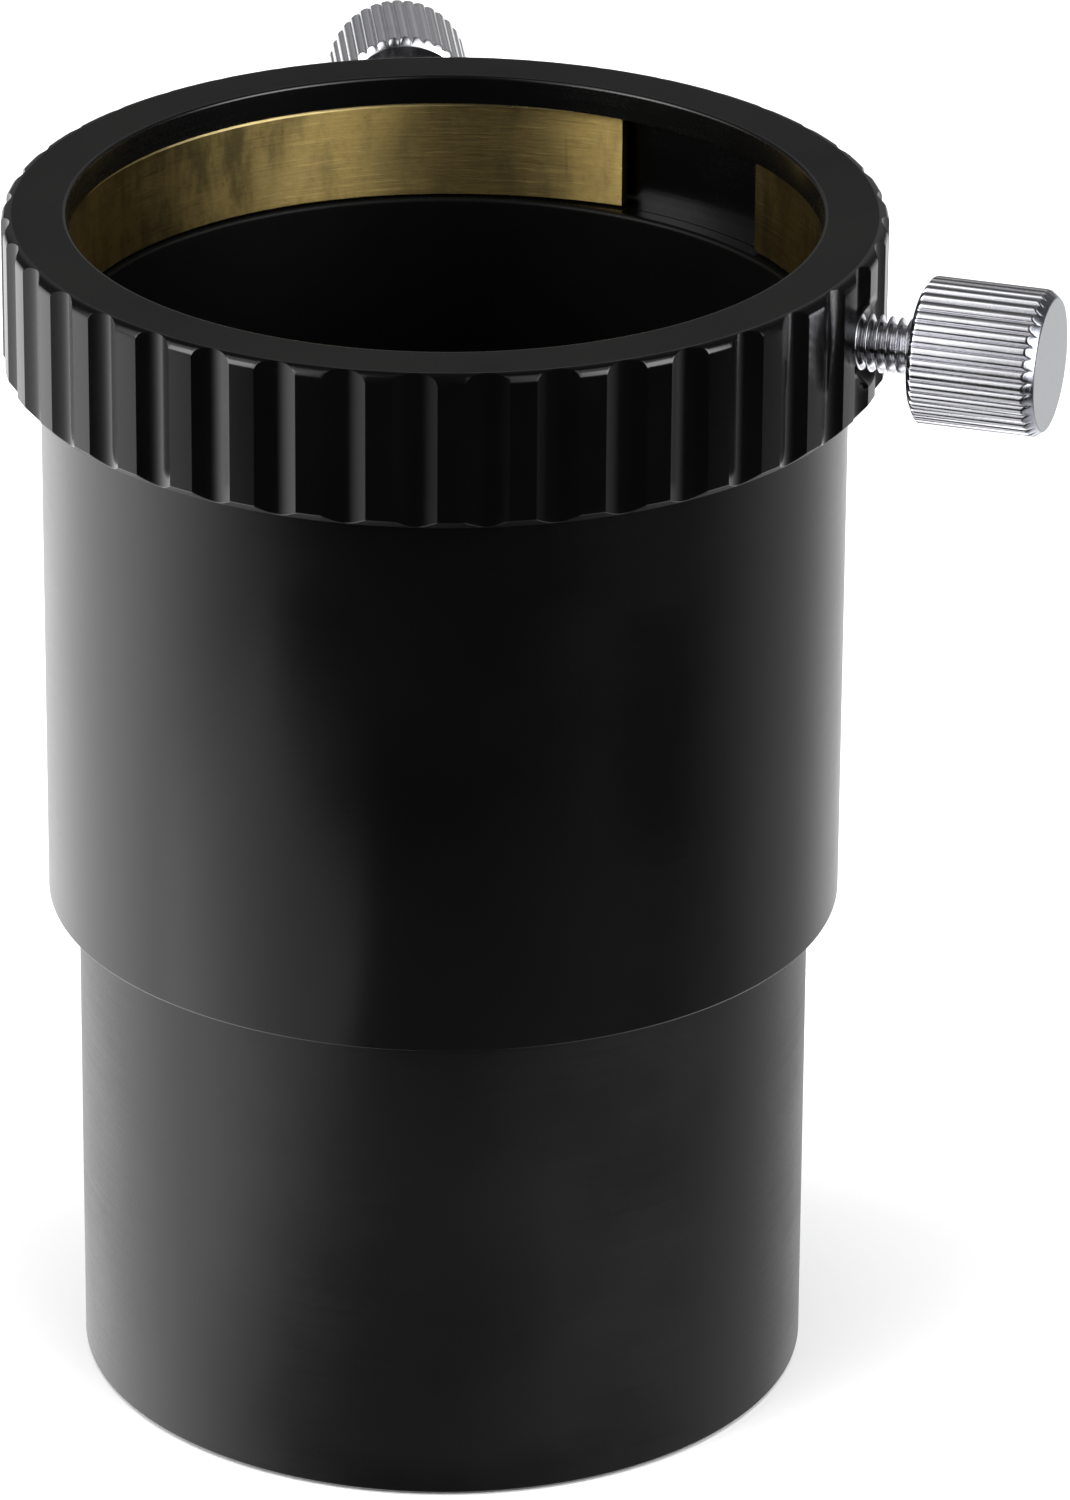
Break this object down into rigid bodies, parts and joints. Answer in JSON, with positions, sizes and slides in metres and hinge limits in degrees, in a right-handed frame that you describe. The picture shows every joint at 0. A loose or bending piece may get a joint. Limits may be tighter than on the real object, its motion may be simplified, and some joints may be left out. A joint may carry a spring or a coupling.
{
  "type": "eyepiece extension tube",
  "caption": "Open extension tube for a telescope eyepiece: smooth nosepiece, plain tube and fluted clamp collar with a split brass ring and knurled thumbscrews.",
  "frame": {"origin": "centre of the footprint, thumbscrews included, at the height of the nosepiece's open end; the tube's own axis is parallel to Z through x = -5.85 mm, y = -7.35 mm", "axes": "+Z along the tube's axis from the nosepiece to the clamp collar, up; -Y is the side that faces the viewer; +X is the viewer's right, where the side thumbscrew is; +Y is the back, where the rear thumbscrew is"},
  "size_m": [0.0716, 0.0747, 0.0851],
  "materials": {
    "collar_black": "glossy black anodised, with a satin top face",
    "tube_black": "satin black anodised",
    "nose_black": "fine matt black anodised",
    "ring_brass": "bare brass, brushed round the ring and lightly tarnished",
    "screw_chrome": "bright plated, with a satin end face"
  },
  "bodies": {
    "barrel": {"nosepiece": "nose_black", "extension_tube": "tube_black", "clamp_collar": "collar_black"},
    "ring": {"compression_ring": "ring_brass"},
    "side_stud": {"side_screw_stud": "screw_chrome"},
    "side_head": {"side_screw_head": "screw_chrome"},
    "rear_stud": {"rear_screw_stud": "screw_chrome"},
    "rear_head": {"rear_screw_head": "screw_chrome"}
  },
  "joints": [
    {"name": "ring_turn", "type": "hinge", "parent": "barrel", "child": "ring", "pos_m": [-0.00585, -0.00735, 0.0795], "axis": [0, 0, 1], "continuous": true},
    {"name": "side_screw_travel", "type": "slide", "parent": "barrel", "child": "side_stud", "axis": [0.9505, -0.3107, 0], "range_m": [0, 0.0021]},
    {"name": "side_screw_turn", "type": "hinge", "parent": "side_stud", "child": "side_head", "pos_m": [0.02609, -0.01779, 0.0792], "axis": [0.9505, -0.3107, 0], "range_deg": [0, 1080]},
    {"name": "rear_screw_travel", "type": "slide", "parent": "barrel", "child": "rear_stud", "axis": [-0.0802, 0.9968, 0], "range_m": [-0.0021, 0.0007]},
    {"name": "rear_screw_turn", "type": "hinge", "parent": "rear_stud", "child": "rear_head", "pos_m": [-0.00871, 0.02823, 0.0792], "axis": [-0.0802, 0.9968, 0], "range_deg": [-1080, 360]}
  ],
  "couplings": [
    {"joint": "side_screw_turn", "follows": "side_screw_travel", "rad_per_m": 8975.9},
    {"joint": "rear_screw_turn", "follows": "rear_screw_travel", "rad_per_m": 8975.9}
  ]
}
